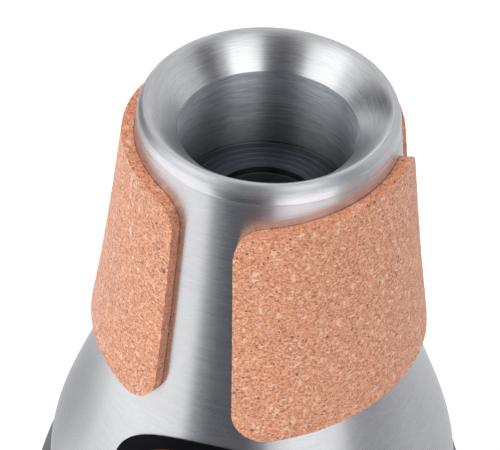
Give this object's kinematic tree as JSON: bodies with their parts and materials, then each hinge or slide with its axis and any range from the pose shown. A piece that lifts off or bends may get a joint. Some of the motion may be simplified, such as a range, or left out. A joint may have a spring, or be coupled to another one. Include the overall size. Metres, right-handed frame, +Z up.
{
  "type": "trombone practice mute",
  "caption": "Bell-plugging practice mute: spun metal neck with a rolled mouth, curved cork pads, a round dark lower body and a narrow inner air tube.",
  "frame": {"origin": "centre of the base, on the plane of the foot ring", "axes": "+Z up the axis to the mouth; -Y to the front, where the gap between the left and front pads shows the neck"},
  "size_m": [0.1344, 0.1344, 0.2042],
  "materials": {
    "spun_aluminium": "satin, fine rings of spinning and brushing",
    "turned_aluminium": "fine turned, half bright",
    "cork": "agglomerated cork, matt",
    "label_foil": "printed foil, half gloss",
    "gasket_rubber": "matt",
    "dark_moulding": "satin moulding",
    "felt": "pressed wool felt"
  },
  "bodies": {
    "root": {"mouth_ring": "turned_aluminium", "neck_shell": "spun_aluminium", "throat_sleeve": "turned_aluminium", "throat_floor": "turned_aluminium", "inner_tube": "turned_aluminium", "cork_pad_front": "cork", "cork_pad_back": "cork", "cork_pad_left": "cork", "oval_label": "label_foil", "seam_gasket": "gasket_rubber", "lower_shell": "dark_moulding", "wall_felt": "felt", "base_plate": "spun_aluminium", "damping_disc": "felt"}
  },
  "joints": []
}
